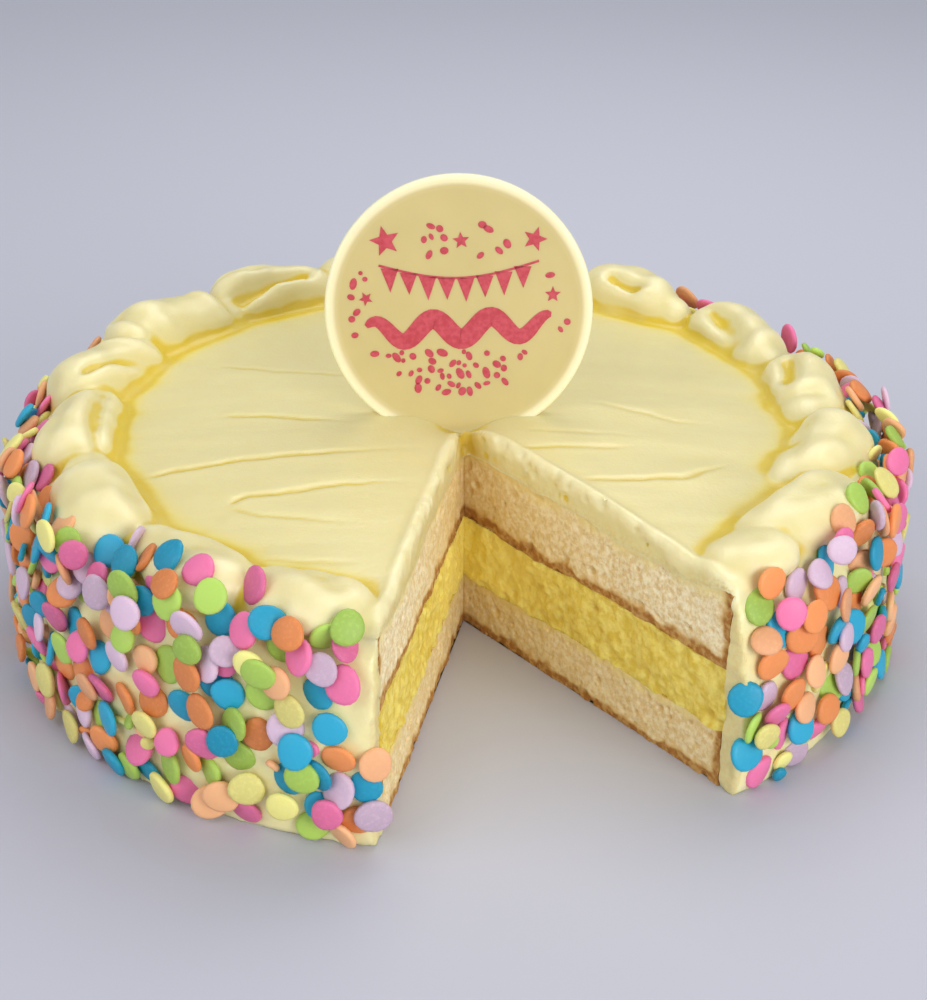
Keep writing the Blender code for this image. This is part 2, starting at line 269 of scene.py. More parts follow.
# Colours of the other materials
CREAM = (0.80, 0.715, 0.355)
# Painted shade: deeper yellow in the broad hollows of the top, such as the border's inner foot
CREAM_VALLEY_SHADE = (0.88, 0.745, 0.15)
# Painted shade: darker yellow in the small hollows and creases of the icing
CREAM_HOLLOW_SHADE = (0.76, 0.56, 0.04)
# Painted highlight: lighter colour on the crests of the icing
CREAM_CREST_HIGHLIGHT = (0.89, 0.81, 0.47)
# Painted light: the side is painted lighter to offset the shade that the sprinkles cast on it
CREAM_SIDE_LIGHT = (0.95, 0.88, 0.48)
# Painted shade: a darker yellow line along the groove of each spatula stroke
CREAM_STROKE_SHADE = (0.66, 0.52, 0.12)
CREAM_MOTTLE = (0.80, 0.68, 0.30)
CREAM_CRUMBS = (0.80, 0.63, 0.28)
# Painted shade: the icing on the cut walls is darker and deeper yellow near the cut's tip, deep in the cut
CREAM_TIP_SHADE = (0.66, 0.46, 0.06)
SPONGE_DARK, SPONGE_PALE = (0.76, 0.57, 0.28), (0.97, 0.87, 0.60)
# Painted shade: darker colour in the pores and hollows of the crumb
SPONGE_HOLLOW_SHADE = (0.66, 0.44, 0.17)
SPONGE_BUTTER = (0.88, 0.74, 0.32)
# Painted shade: darker brown crumb towards the cut's tip, and over the whole lower sponge by a share
SPONGE_INNER_SHADE = (0.76, 0.52, 0.15)
CRUST, CRUST_DARK = (0.70, 0.45, 0.14), (0.38, 0.155, 0.025)
CURD_DARK, CURD_PALE = (0.74, 0.54, 0.06), (0.93, 0.77, 0.19)
# Painted shade in the filling's hollows, and painted light that makes it lighter towards the cut's tip
# against the shade there
CURD_HOLLOW_SHADE, CURD_TIP_LIGHT = (0.62, 0.36, 0.025), (1.0, 0.82, 0.20)
CHOCOLATE_DARK, CHOCOLATE_PALE = (0.65, 0.54, 0.235), (0.68, 0.565, 0.25)
# Painted highlight: a near-white band round the plaque's rounded rim
CHOCOLATE_RIM_HIGHLIGHT = (1.0, 0.93, 0.62)
PRINT_DARK, PRINT_PALE = (0.52, 0.045, 0.065), (0.62, 0.08, 0.11)
# Painted light: the floor goes from darker at the front to lighter towards the back
FLOOR_NEAR, FLOOR_FAR = (0.50, 0.51, 0.585), (0.86, 0.875, 0.97)
SKY = (0.90, 0.93, 1.0)
GLOW_RADIUS = (1.0, 0.7, 0.3)

# Stage: the floor's reach, the ambient light, and the lamps' place, size, watts and colour
FLOOR_REACH = 3000
AMBIENT = 0.38
LAMP_AIM = (0, 0, 30)
LAMPS = {
    "key": ((-520, -380, 440), (900, 600), 2.4, (1.0, 0.98, 0.95)),
    "fill": ((420, -620, 290), (450, 400), 3.4, (1.0, 0.98, 0.95)),
    "top": ((110, 240, 620), (500, 500), 2.0, (1, 1, 1)),
}


def direction(angle):
    """Plan vector from the cake's axis at an angle in degrees."""
    turn = math.radians(angle)
    return np.array((math.sin(turn), -math.cos(turn)))


def nearest(points, start, end):
    """For plan points: the share of the way along a line, the distance from it, and the side of it."""
    way = np.subtract(end, start)
    share = np.clip((points - start) @ way / (way @ way), 0, 1)
    off = points - start - share[:, None] * way
    return share, np.hypot(off[:, 0], off[:, 1]), way[0] * off[:, 1] - way[1] * off[:, 0]


def ramp(values, low, high):
    """Smooth step from 0 at low to 1 at high."""
    share = np.clip((values - low) / (high - low), 0, 1)
    return share * share * (3 - 2 * share)


def lattice(cells, seed):
    """A repeatable random value from 0 to 1 for each whole-numbered cell."""
    key = cells.astype(np.int64)
    mixed = key[..., 0] * 374761393 + key[..., 1] * 668265263 + key[..., 2] * 1440662683 + seed * 362437
    mixed = ((mixed ^ (mixed >> 13)) * 1274126177) & 0x7FFFFFFFFFFF
    mixed ^= mixed >> 16
    return (mixed & 0xFFFFFF) / 0xFFFFFF


def noise(points, scale, seed):
    """Smooth random values from -1 to 1 that change over the scale."""
    spot = points / scale
    base = np.floor(spot)
    share = spot - base
    share = share * share * (3 - 2 * share)
    total = np.zeros(len(points))
    for corner in itertools.product((0, 1), repeat=3):
        corner = np.array(corner)
        weight = np.prod(np.where(corner, share, 1 - share), axis=-1)
        total += weight * lattice(base + corner, seed)
    return 2 * total - 1


TURN = np.array(Matrix.Rotation(0.7, 3, Vector((1, 2, 3))))


def fractal(points, scale, seed, octaves=3):
    """Noise of several scales, each half the last in size and strength."""
    total = np.zeros(len(points))
    strength = 1.0
    for octave in range(octaves):
        total += strength * noise(points, scale, seed + octave)
        points = points @ TURN
        scale /= 2
        strength /= 2
    return total


def pits(points, scale, seed, reach, share):
    """0 outside and up to 1 in the middle of round pits, one to a cell, in a share of the cells."""
    spot = points / scale
    base = np.floor(spot)
    depth = np.zeros(len(points))
    for offset in itertools.product((-1, 0, 1), repeat=3):
        cell = base + np.array(offset)
        centre = cell + np.stack([lattice(cell, seed + axis) for axis in range(3)], -1)
        radius = reach * (0.5 + 0.8 * lattice(cell, seed + 3))
        away = np.linalg.norm(spot - centre, axis=-1) / radius
        here = lattice(cell, seed + 4) < share
        depth = np.maximum(depth, np.where(here, 1 - away * away, 0))
    return np.clip(depth, 0, 1)


def add(name, data):
    """A new object in the scene."""
    made = bpy.data.objects.new(name, data)
    bpy.context.scene.collection.objects.link(made)
    return made


def make(name, points, faces, finish, smooth=True):
    """A mesh object from points in mm, its faces turned outwards."""
    mesh = bpy.data.meshes.new(name)
    mesh.from_pydata((np.asarray(points, float) * MM).tolist(), [], [list(face) for face in faces])
    bm = bmesh.new()
    bm.from_mesh(mesh)
    bmesh.ops.recalc_face_normals(bm, faces=bm.faces)
    bm.to_mesh(mesh)
    bm.free()
    if smooth:
        mesh.shade_smooth()
    if finish:
        mesh.materials.append(finish)
    return add(name, mesh)


def modify(thing, kind, **settings):
    """Applies a modifier to an object."""
    modifier = thing.modifiers.new(kind, kind)
    for key, value in settings.items():
        setattr(modifier, key, value)
    graph = bpy.context.evaluated_depsgraph_get()
    applied = bpy.data.meshes.new_from_object(thing.evaluated_get(graph))
    thing.modifiers.clear()
    thing.data = applied


def remesh(thing, voxel):
    modify(thing, "REMESH", mode="VOXEL", voxel_size=voxel * MM, use_smooth_shade=True)


def subtract(thing, cutter):
    modify(thing, "BOOLEAN", operation="DIFFERENCE", solver="MANIFOLD", object=cutter)
    bpy.data.objects.remove(cutter, do_unlink=True)


def read(thing, name):
    """A vector of each vertex, such as its normal."""
    flat = np.empty(len(thing.data.vertices) * 3, np.float32)
    thing.data.vertices.foreach_get(name, flat)
    return flat.reshape(-1, 3).astype(float)


def vertices(thing):
    """The object's points in mm."""
    return read(thing, "co") / MM


def set_vertices(thing, points):
    thing.data.vertices.foreach_set("co", (points * MM).astype(np.float32).ravel())
    thing.data.update()


def paint(thing, name, values):
    """Stores one number for each vertex, for the materials to read."""
    attribute = thing.data.attributes.new(name, "FLOAT", "POINT")
    attribute.data.foreach_set("value", np.asarray(values, np.float32))


def hollowness(thing, rounds):
    """How far each vertex lies below the smoothed surface round it, in mm."""
    points = vertices(thing)
    count = len(points)
    ends = np.empty(len(thing.data.edges) * 2, np.int32)
    thing.data.edges.foreach_get("vertices", ends)
    ends = ends.reshape(-1, 2)
    here = np.concatenate((ends[:, 0], ends[:, 1]))
    there = np.concatenate((ends[:, 1], ends[:, 0]))
    degree = np.maximum(np.bincount(here, minlength=count), 1)
    smooth = points.copy()
    for _ in range(rounds):
        sums = [np.bincount(here, weights=smooth[there, axis], minlength=count) for axis in range(3)]
        smooth = np.stack(sums, -1) / degree[:, None]
    return np.einsum("ij,ij->i", smooth - points, read(thing, "normal"))


def closed_faces(rings, sides, start=0):
    """Faces of a closed skin: one point, rings of points, then one point."""
    last = start + 1 + rings * sides
    faces = []
    for side in range(sides):
        after = (side + 1) % sides
        faces.append((start, start + 1 + side, start + 1 + after))
        for first in range(start + 1, last - sides, sides):
            faces.append((first + side, first + sides + side, first + sides + after, first + after))
        faces.append((last - sides + after, last - sides + side, last))
    return faces


def turned(name, profile, sides, finish=None):
    """A solid of revolution. The profile goes (radius, height) from one point on the axis to another."""
    angles = np.linspace(0, 2 * np.pi, sides, endpoint=False)
    points = [(0, 0, profile[0][1])]
    for radius, height in profile[1:-1]:
        points += [(radius * math.sin(a), -radius * math.cos(a), height) for a in angles]
    points.append((0, 0, profile[-1][1]))
    return make(name, points, closed_faces(len(profile) - 2, sides), finish)


def cut_wall(number):
    """Directions along a wall of the cut, 0 or 1, and from it into the cake."""
    along = direction(CUT_ANGLES[number])
    return along, (2 * number - 1) * np.array((-along[1], along[0]))


def cut_place(points):
    """For each wall of the cut: how far along it and how deep in the cake each point lies."""
    offset = points[:, :2] - CUT_TIP
    return [(offset @ along, offset @ inward) for along, inward in (cut_wall(0), cut_wall(1))]


def from_tip(points):
    """Each point's distance from the cut's tip in plan."""
    offset = points[:, :2] - CUT_TIP
    return np.hypot(offset[:, 0], offset[:, 1])


def crown_height(radius):
    """Height of the icing's plain top at a distance from the axis."""
    share = np.minimum(radius / CROWN_RADIUS, 1)
    return RIM_HEIGHT + CROWN * (1 - share * share)


def dip_depth(points):
    """How far the top is pressed in round the plaque's foot."""
    away = np.hypot(points[:, 0] - DIP_PLACE[0], points[:, 1] - DIP_PLACE[1])
    return DIP_DEPTH * np.exp(-((away / DIP_SIZE) ** 2))


def level(points, height, seed, swing=0.7):
    """Wavy height of the boundary between two layers."""
    flat = np.column_stack((points[:, :2], np.zeros(len(points))))
    fine = 0.4 * noise(flat, 4.5, seed + 1) + 0.25 * noise(flat, 1.9, seed + 2)
    return height + swing * noise(flat, 17.0, seed) + fine


def foot_level(points):
    return np.full(len(points), SPONGE_FOOT)


def lower_level(points):
    return level(points, LOWER_TOP + 0.15, 21)


def filling_level(points):
    return level(points, FILLING_TOP + 0.15, 31)


def upper_level(points):
    radius = np.hypot(points[:, 0], points[:, 1])
    droop = 1.6 * ramp(radius, 52, 66) * (1 - ramp(radius, 84, 98))
    return level(points, UPPER_TOP + 0.6, 41, 0.6) - droop


def core_foot(points):
    return np.full(len(points), -BELOW_FOOT)


def core_top(points):
    return upper_level(points) - OVERLAP


def wall_columns():
    """Angles of the rays from the cut's tip, close together near each wall of the cut."""
    start, end = CUT_ANGLES[1], CUT_ANGLES[0] + 360
    first = [start + step for step in WALL_STEPS]
    second = [end - step for step in reversed(WALL_STEPS)]
    middle = list(np.linspace(first[-1], second[0], 6)[1:-1])
    return first + middle + second


def tip_to_rim(angle, radius):
    """How far it is from the cut's tip to a circle round the axis, at an angle."""
    near = CUT_TIP @ direction(angle)
    return -near + math.sqrt(near * near - CUT_TIP @ CUT_TIP + radius * radius)


def sheets(angles, radius, count, low, high):
    """Two grids of points on rays from the cut's tip to a circle: at low heights and at high ones."""
    rays = [direction(angle) * tip_to_rim(angle, radius) for angle in angles]
    plan = np.array([[CUT_TIP + ray * share for share in np.linspace(0, 1, count + 1)] for ray in rays])
    flat = plan.reshape(-1, 2)
    return [np.column_stack((flat, face(flat))).reshape(*plan.shape[:2], 3) for face in (low, high)]


def between(low, high, rise):
    """Points from the low to the high ones, as a new axis of the grid."""
    return low * (1 - rise[None, :, None]) + high * rise[None, :, None]


def joined(patches):
    """Points and faces of grids of points, with the points that they share merged."""
    points, faces = [], []
    start = 0
    for patch in patches:
        height, width = patch.shape[:2]
        grid = start + np.arange(height * width).reshape(height, width)
        quads = np.stack((grid[:-1, :-1], grid[1:, :-1], grid[1:, 1:], grid[:-1, 1:]), -1)
        points.append(patch.reshape(-1, 3))
        faces.append(quads.reshape(-1, 4))
        start += height * width
    points, faces = np.concatenate(points), np.concatenate(faces)
    _, first, where = np.unique(np.round(points, 4), axis=0, return_index=True, return_inverse=True)
    corners = [list(dict.fromkeys(face)) for face in where.reshape(-1)[faces].tolist()]
    return points[first], [face for face in corners if len(face) > 2]


def layer(name, finish, radius, low, high, recess, step, rows):
    """One layer with the slice cut out: low and high give its faces, recess the relief of its cut walls."""
    angles = wall_columns()
    bottom, top = sheets(angles, radius, round(tip_to_rim(angles[0], radius) / step), low, high)
    rise = np.linspace(0, 1, rows + 1)
    side = between(bottom[:, -1:], top[:, -1:], rise)
    walls = []
    for column, number in ((0, 1), (-1, 0)):
        wall = between(bottom[column][:, None], top[column][:, None], rise)
        inward = np.append(cut_wall(number)[1], 0)
        spots = wall.reshape(-1, 3)
        push = recess(spots) * ramp(from_tip(spots), 0, 2.0)
        wall = (spots + push[:, None] * inward).reshape(wall.shape)
        bottom[column], top[column], side[column] = wall[:, 0], wall[:, -1], wall[-1]
        walls.append(wall)
    made = make(name, *joined((bottom, top, side, *walls)), finish)
    made.data.set_sharp_from_angle(angle=SHARP_ANGLE)
    return made


def crumb(points, seed):
    """Relief of a cut sponge wall, in mm into the cake: torn lumps and open pores."""
    lumps = 0.30 * fractal(points, 6.0, seed, 3) + 0.14 * noise(points, 1.3, seed + 9)
    large = pits(points, 3.6, seed + 20, 0.36, 0.4)
    small = pits(points, 1.7, seed + 30, 0.42, 0.55)
    return 0.25 + lumps + 0.8 * large + 0.35 * small


def lower_recess(points):
    return crumb(points, 50)


def upper_recess(points):
    """Relief of the upper sponge's cut wall, which fades out where the icing takes over."""
    return crumb(points, 50) * ramp(upper_level(points) - points[:, 2], 0, 1.8)


def curd_recess(points):
    """Relief of the filling's cut wall: soft lumps that stand out or draw back."""
    lumps = 0.65 * fractal(points, 6.5, 70, 3) + 0.3 * noise(points, 1.7, 77)
    holes = pits(points, 5.0, 80, 0.42, 0.45)
    beads = pits(points, 2.2, 90, 0.5, 0.5)
    return 0.2 + lumps + 1.0 * holes - 0.3 * beads


def dollop_points(station, turn, half_length, half_width, height, creases, seed):
    """Points of a dollop's skin: station runs from tail to head, turn round it."""
    fullness = np.sqrt(np.maximum(1 - np.abs(station) ** DOLLOP_FULLNESS, 0))
    girth = fullness * (1 - DOLLOP_TAIL * (1 - station) / 2)
    across = girth * np.cos(turn)
    up = girth * np.sin(turn)
    spots = np.column_stack((station * 1.6, across, up))
    swell = 1 + 0.10 * noise(spots, 0.9, seed) + 0.04 * noise(spots, 0.4, seed + 1)
    across, up = across * swell, up * swell
    upper = ramp(up, 0, 0.2)
    for *ends, width, depth in creases:
        _, away, side = nearest(np.column_stack((station, across)), ends[:2], ends[2:])
        inner = side < 0
        groove = np.exp(-((away / np.where(inner, width * 0.7, width * 1.3)) ** 2))
        lip = np.where(inner, 0.45, 0.15) * np.exp(-(((away - 1.9 * width) / (0.8 * width)) ** 2))
        up += upper * girth * depth * (lip - groove)
    bend = half_length * half_length / (2 * CROWN_RADIUS)
    lift = np.where(up > 0, up * height, up * DOLLOP_DEPTH)
    return np.column_stack((station * half_length, across * half_width - bend * station * station, lift))


def dollop(number, angle, middle, half_length, half_width, height, creases):
    """One piped dollop, laid on the rim."""
    stations = -np.cos(np.pi * np.arange(1, DOLLOP_STATIONS) / DOLLOP_STATIONS)
    turns = np.linspace(0, 2 * np.pi, DOLLOP_SIDES, endpoint=False)
    station = np.concatenate(([-1], np.repeat(stations, DOLLOP_SIDES), [1]))
    turn = np.concatenate(([0], np.tile(turns, len(stations)), [0]))
    points = dollop_points(station, turn, half_length, half_width, height, creases, 100 + 7 * number)
    yaw = math.radians(angle - DOLLOP_SKEW)
    cos, sin = math.cos(yaw), math.sin(yaw)
    x, y = points[:, 0].copy(), -points[:, 1]
    centre = direction(angle) * middle
    points[:, 0] = centre[0] + cos * x - sin * y
    points[:, 1] = centre[1] + sin * x + cos * y
    points[:, 2] += RIM_HEIGHT
    return make(f"dollop_{number}", points, closed_faces(len(stations), DOLLOP_SIDES), None)


def side_radius(height):
    """Radius of the icing's side at a height: it bellies out a little."""
    span = COAT_MIDDLE_HEIGHT if height < COAT_MIDDLE_HEIGHT else COAT_SHOULDER_HEIGHT - COAT_MIDDLE_HEIGHT
    end = COAT_FOOT_RADIUS if height < COAT_MIDDLE_HEIGHT else COAT_SHOULDER_RADIUS
    share = (height - COAT_MIDDLE_HEIGHT) / span
    return COAT_MIDDLE_RADIUS - (COAT_MIDDLE_RADIUS - end) * share * share - COAT_UNDER_SPRINKLES


def coat():
    """The icing's plain solid: crowned top, rounded shoulder and bellied side."""
    profile = [(0, 0)]
    profile += [(side_radius(height), height) for height in np.linspace(0, COAT_SHOULDER_HEIGHT, 24)]
    bevel = SHOULDER_BEVEL
    profile.append((side_radius(COAT_SHOULDER_HEIGHT) - bevel * 0.3, COAT_SHOULDER_HEIGHT + bevel * 0.7))
    radii = np.linspace(side_radius(COAT_SHOULDER_HEIGHT) - bevel, 0, 56)
    profile += list(zip(radii, crown_height(radii)))
    return turned("icing_body", profile, COAT_SIDES)


def wedge(proud):
    """The space of the missing slice, narrowed by what the icing stands proud of the cut."""
    points = []
    middle = sum(CUT_ANGLES) / 2
    half = math.radians((CUT_ANGLES[1] - CUT_ANGLES[0]) / 2)
    tip = CUT_TIP + direction(middle) * proud / math.sin(half)
    outline = [tip] + [tip + direction(a) * CUT_REACH for a in (CUT_ANGLES[0], middle, CUT_ANGLES[1])]
    for height in (-BELOW_FOOT, ABOVE_TOP):
        points += [(*corner, height) for corner in outline]
    faces = [(3, 2, 1, 0), (4, 5, 6, 7)] + [(i, (i + 1) % 4, 4 + (i + 1) % 4, 4 + i) for i in range(4)]
    return make("missing_slice", points, faces, None)


def core():
    """The room that the layers take inside the icing."""
    inside = np.linspace(CUT_ANGLES[0] + 2, CUT_ANGLES[1] - 2, 6)
    angles = sorted({round(float(angle) % 360, 3) for angle in (*wall_columns(), *inside)})
    bottom, top = sheets([*angles, angles[0]], UPPER_RADIUS + CORE_GAP, CORE_RINGS, core_foot, core_top)
    side = between(bottom[:, -1:], top[:, -1:], np.array((0, 1)))
    return make("core", *joined((bottom, top, side)), None)


def strokes(points):
    """Height that the spatula strokes add to the top, and how near each point is to a stroke's line."""
    lift, line = np.zeros(len(points)), np.zeros(len(points))
    flat = points[:, :2]
    wobble = np.column_stack((flat, np.zeros(len(flat))))
    for number, (path, height, front, back) in enumerate(STROKES):
        path = np.array(path)
        fine = np.linspace(0, len(path) - 1, 6 * (len(path) - 1) + 1)
        path = np.column_stack([np.interp(fine, range(len(path)), path[:, axis]) for axis in (0, 1)])
        best = np.full(len(flat), np.inf)
        signed = np.zeros(len(flat))
        along = np.zeros(len(flat))
        for step, (start, end) in enumerate(zip(path, path[1:])):
            share, away, side = nearest(flat, start, end)
            closer = away < best
            best = np.where(closer, away, best)
            signed = np.where(closer, np.sign(side) * away, signed)
            along = np.where(closer, (step + share) / (len(path) - 1), along)
        signed = signed + 0.35 * noise(wobble, 3.0, 300 + number)
        taper = ramp(along, 0, 0.12) * (1 - ramp(along, 0.6, 1.0))
        behind = np.exp(-np.maximum(signed, 0) / back)
        slope = np.where(signed > 0, behind, np.exp(np.minimum(signed, 0) / (3 * front)))
        groove = np.exp(-((signed / 0.8) ** 2))
        lift += height * taper * (0.5 * slope - 0.75 * groove)
        line = np.maximum(line, taper * np.exp(-((signed / 0.9) ** 2)) * min(1.0, height / 0.8))
    return lift, line


def shape_icing(thing):
    """Strokes, ridges and unevenness over the remeshed icing, and the values that its colours follow."""
    points = vertices(thing)
    radius = np.hypot(points[:, 0], points[:, 1])
    cuts = cut_place(points)

    # Top: strokes, the sweep of the spatula, the hollow at the plaque and a ridge along the cut
    on_top = 1 - ramp(np.abs(points[:, 2] - crown_height(radius)), 0.5, 1.6)
    on_top *= 1 - ramp(radius, 92, 98)
    flat = np.column_stack((points[:, 0] * 0.35, points[:, 1], np.zeros(len(points))))
    sweep = 0.20 * fractal(flat, 9.0, 400, 2) + 0.03 * noise(flat, 1.8, 410)
    added, line = strokes(points)
    lift = added + sweep - dip_depth(points)
    for (along, deep), seed in zip(cuts, (420, 430)):
        ridge = (0.65 + 0.45 * noise(points, 6.0, seed)) * np.exp(-(((deep - 1.3) / 1.1) ** 2))
        lift += ramp(along, -1, 6) * ridge * (deep > -1)
    points[:, 2] += on_top * lift

    # Side: uneven, but not at the foot
    normal = read(thing, "normal")
    outward = 1 - ramp(points[:, 2], 44, 52)
    rough = 0.55 * fractal(points, 9.0, 440) + 0.25 * noise(points, 2.4, 450)
    wall = np.zeros(len(points))
    for along, deep in cuts:
        wall = np.maximum(wall, (np.abs(deep + ICING_PROUD) < 0.6) * (along > -1))
    side = outward * (radius > 100.5) * (1 - wall) * ramp(points[:, 2], 0, 2)
    points += normal * (side * rough)[:, None]

    # Walls of the cut: dragged by the knife, smooth where the sponge begins
    drag = 0.35 * fractal(points * np.array((1, 1, 1.6)), 4.5, 460) - 0.6 * pits(points, 2.6, 480, 0.45, 0.5)
    above = points[:, 2] - upper_level(points)
    drag *= ramp(np.abs(above), 0.2, 1.6)
    points += normal * (wall * drag)[:, None]

    # Dollops
    soft = (1 - side) * (1 - wall) * (1 - on_top) * ramp(points[:, 2], 2, 8)
    points += normal * (soft * 0.35 * fractal(points, 8.0, 470, 2))[:, None]
    points[:, 2] = np.maximum(points[:, 2], 0)
    set_vertices(thing, points)

    # Painted shade: line marks the groove of each stroke, painted darker yellow
    paint(thing, "line", on_top * line)
    torn = ramp(above + 0.8 * fractal(points, 3.0, 490, 2), 0.2, 2.8)
    crumbs = wall * (1 - torn) * (radius < UPPER_RADIUS)
    crumbs += 0.6 * wall * (radius >= UPPER_RADIUS) * (1 - ramp(points[:, 2], 38, 48))
    paint(thing, "crumbs", crumbs)
    # Painted light: side marks the icing's side, painted lighter against the sprinkles' shade
    paint(thing, "side", (1 - wall) * (1 - ramp(points[:, 2], 42, 49)))
    # Painted shade: darker icing on the cut walls near the cut's tip
    paint(thing, "soaked", wall * np.exp(-((from_tip(points) / 7) ** 2)))


def icing_body(finish):
    """Coat and border in one, cut open, with soft edges."""
    body = coat()
    pieces = [dollop(number, *sizes) for number, sizes in enumerate(DOLLOPS)]
    merged = bmesh.new()
    for piece in (body, *pieces):
        merged.from_mesh(piece.data)
    merged.to_mesh(body.data)
    merged.free()
    for piece in pieces:
        bpy.data.objects.remove(piece, do_unlink=True)
    remesh(body, UNION_VOXEL)
    subtract(body, wedge(ICING_PROUD))
    remesh(body, ICING_VOXEL)
    modify(body, "SMOOTH", factor=0.5, iterations=4)
    shape_icing(body)
    subtract(body, core())
    body.data.materials.clear()
    body.data.materials.append(finish)
    body.data.shade_smooth()
    over_side = ramp(vertices(body)[:, 2], 42, 49)
    # Painted shade and painted highlight: hollow is how deep a point lies in a small hollow; the cream is
    # darker there and lighter on crests
    paint(body, "hollow", hollowness(body, 20) * (0.15 + 0.85 * over_side))
    # Painted shade: valley is how deep a point lies in a broad hollow of the top, painted a deeper yellow
    # there
    paint(body, "valley", hollowness(body, 110) * over_side)
    body.data.set_sharp_from_angle(angle=SHARP_ANGLE)
    return body


class Finish:
    """A material whose colour is laid on in layers."""

    def __init__(self, name, roughness, glow=0.0, spread=0.0):
        """Light glows through it with a weight, over a spread in mm."""
        self.material = bpy.data.materials.new(name)
        self.material.use_nodes = True
        self.tree = self.material.node_tree
        self.inputs = self.tree.nodes["Principled BSDF"].inputs
        self.inputs["Roughness"].default_value = roughness
        if glow:
            self.inputs["Subsurface Weight"].default_value = glow
            self.inputs["Subsurface Radius"].default_value = GLOW_RADIUS
            self.inputs["Subsurface Scale"].default_value = spread * MM

    def node(self, kind, inputs, **settings):
        """A new node, its inputs set to constants or linked to sockets."""
        made = self.tree.nodes.new(kind)
        for key, value in settings.items():
            setattr(made, key, value)
        for key, value in inputs.items():
            if isinstance(value, bpy.types.NodeSocket):
                self.tree.links.new(value, made.inputs[key])
            else:
                made.inputs[key].default_value = value
        return made

    def place(self):
        return self.node("ShaderNodeTexCoord", {}).outputs["Object"]

    def texture(self, scale, detail=2.0, roughness=0.5):
        """Noise over the object's own coordinates, its features about as wide as the scale in mm."""
        inputs = {"Vector": self.place(), "Scale": 1 / (scale * MM), "Detail": detail, "Roughness": roughness}
        return self.node("ShaderNodeTexNoise", inputs).outputs["Fac"]

    def remap(self, value, low, high, end=1.0, start=0.0):
        """Smooth step of a value from start at low to end at high."""
        inputs = {"Value": value, "From Min": low, "From Max": high, "To Min": start, "To Max": end}
        return self.node("ShaderNodeMapRange", inputs, interpolation_type="SMOOTHSTEP").outputs["Result"]

    def painted(self, name, *steps):
        """A value painted on the mesh, remapped if steps are given."""
        value = self.node("ShaderNodeAttribute", {}, attribute_name=name).outputs["Fac"]
        return self.remap(value, *steps) if steps else value

    def product(self, first, second):
        return self.node("ShaderNodeMath", {0: first, 1: second}, operation="MULTIPLY").outputs["Value"]

    def start(self, share, first, second):
        """Sets the lowest layer, between two colours."""
        ends = [(*end, 1) if isinstance(end, tuple) else end for end in (first, second)]
        inputs = {"Factor": share, 6: ends[0], 7: ends[1]}
        self.colour = self.node("ShaderNodeMix", inputs, data_type="RGBA").outputs[2]

    def lay(self, share, colour):
        """Lays a colour over those before it."""
        self.start(share, self.colour, colour)

    def done(self, relief=None, depth=0.0):
        """The material, with relief of a depth in mm."""
        self.tree.links.new(self.colour, self.inputs["Base Color"])
        if relief:
            bump = self.node("ShaderNodeBump", {"Height": relief, "Distance": depth * MM, "Strength": 1.0})
            self.tree.links.new(bump.outputs["Normal"], self.inputs["Normal"])
        return self.material


def buttercream():
    look = Finish("buttercream", 0.33, 0.3, 3.0)
    # Painted shade in the broad hollows of the top
    look.start(look.painted("valley", 0.05, 1.5), CREAM, CREAM_VALLEY_SHADE)
    # Painted shade in small hollows, then a painted highlight on crests
    look.lay(look.painted("hollow", 0.03, 0.36), CREAM_HOLLOW_SHADE)
    look.lay(look.painted("hollow", -0.05, -0.6), CREAM_CREST_HIGHLIGHT)
    # Painted light on the side between the sprinkles
    look.lay(look.painted("side", 0.0, 1.0, 0.8), CREAM_SIDE_LIGHT)
    # Painted shade along the strokes' grooves
    look.lay(look.painted("line", 0.1, 1.0, 0.55), CREAM_STROKE_SHADE)
    look.lay(look.remap(look.texture(9.0, 3.0), 0.35, 0.75, 0.35), CREAM_MOTTLE)
    grains = look.remap(look.texture(0.9), 0.4, 0.62)
    look.lay(look.product(grains, look.painted("crumbs")), CREAM_CRUMBS)
    # Painted shade near the cut's tip
    look.lay(look.painted("soaked"), CREAM_TIP_SHADE)
    return look.done(look.texture(0.9), 0.06)


def sponge():
    look = Finish("sponge", 0.85, 0.2, 1.5)
    look.start(look.remap(look.texture(1.4, 4.0, 0.65), 0.35, 0.65), SPONGE_DARK, SPONGE_PALE)
    # Painted shade in the crumb's pores and hollows
    look.lay(look.painted("hollow", 0.05, 0.5), SPONGE_HOLLOW_SHADE)
    look.lay(look.painted("butter"), SPONGE_BUTTER)
    # Painted shade, darker towards the cut's tip
    look.lay(look.painted("inner"), SPONGE_INNER_SHADE)
    look.lay(look.painted("crust", 0.0, 0.6, 0.9), CRUST)
    flecks = look.remap(look.texture(1.6, 3.0), 0.35, 0.6, 1.0, 0.45)
    look.lay(look.product(look.painted("crust", 0.30, 0.62), flecks), CRUST_DARK)
    return look.done(look.texture(0.9, 3.0), 0.25)


def curd():
    look = Finish("custard_filling", 0.7, 0.3, 2.0)
    look.start(look.remap(look.texture(2.2, 4.0), 0.3, 0.7), CURD_DARK, CURD_PALE)
    # Painted shade in the filling's hollows
    look.lay(look.painted("hollow", 0.1, 0.9), CURD_HOLLOW_SHADE)
    # Painted light: lighter towards the cut's tip, against the shade deep in the cut
    look.lay(look.painted("inner", 0.0, 1.0, 0.8), CURD_TIP_LIGHT)
    return look.done(look.texture(0.8, 3.0), 0.35)


def white_chocolate():
    look = Finish("white_chocolate", 0.38, 0.3, 2.0)
    look.start(look.remap(look.texture(14.0), 0.3, 0.7), CHOCOLATE_DARK, CHOCOLATE_PALE)
    # Painted highlight on the rim
    look.lay(look.painted("rim"), CHOCOLATE_RIM_HIGHLIGHT)
    return look.done(look.texture(2.5), 0.03)


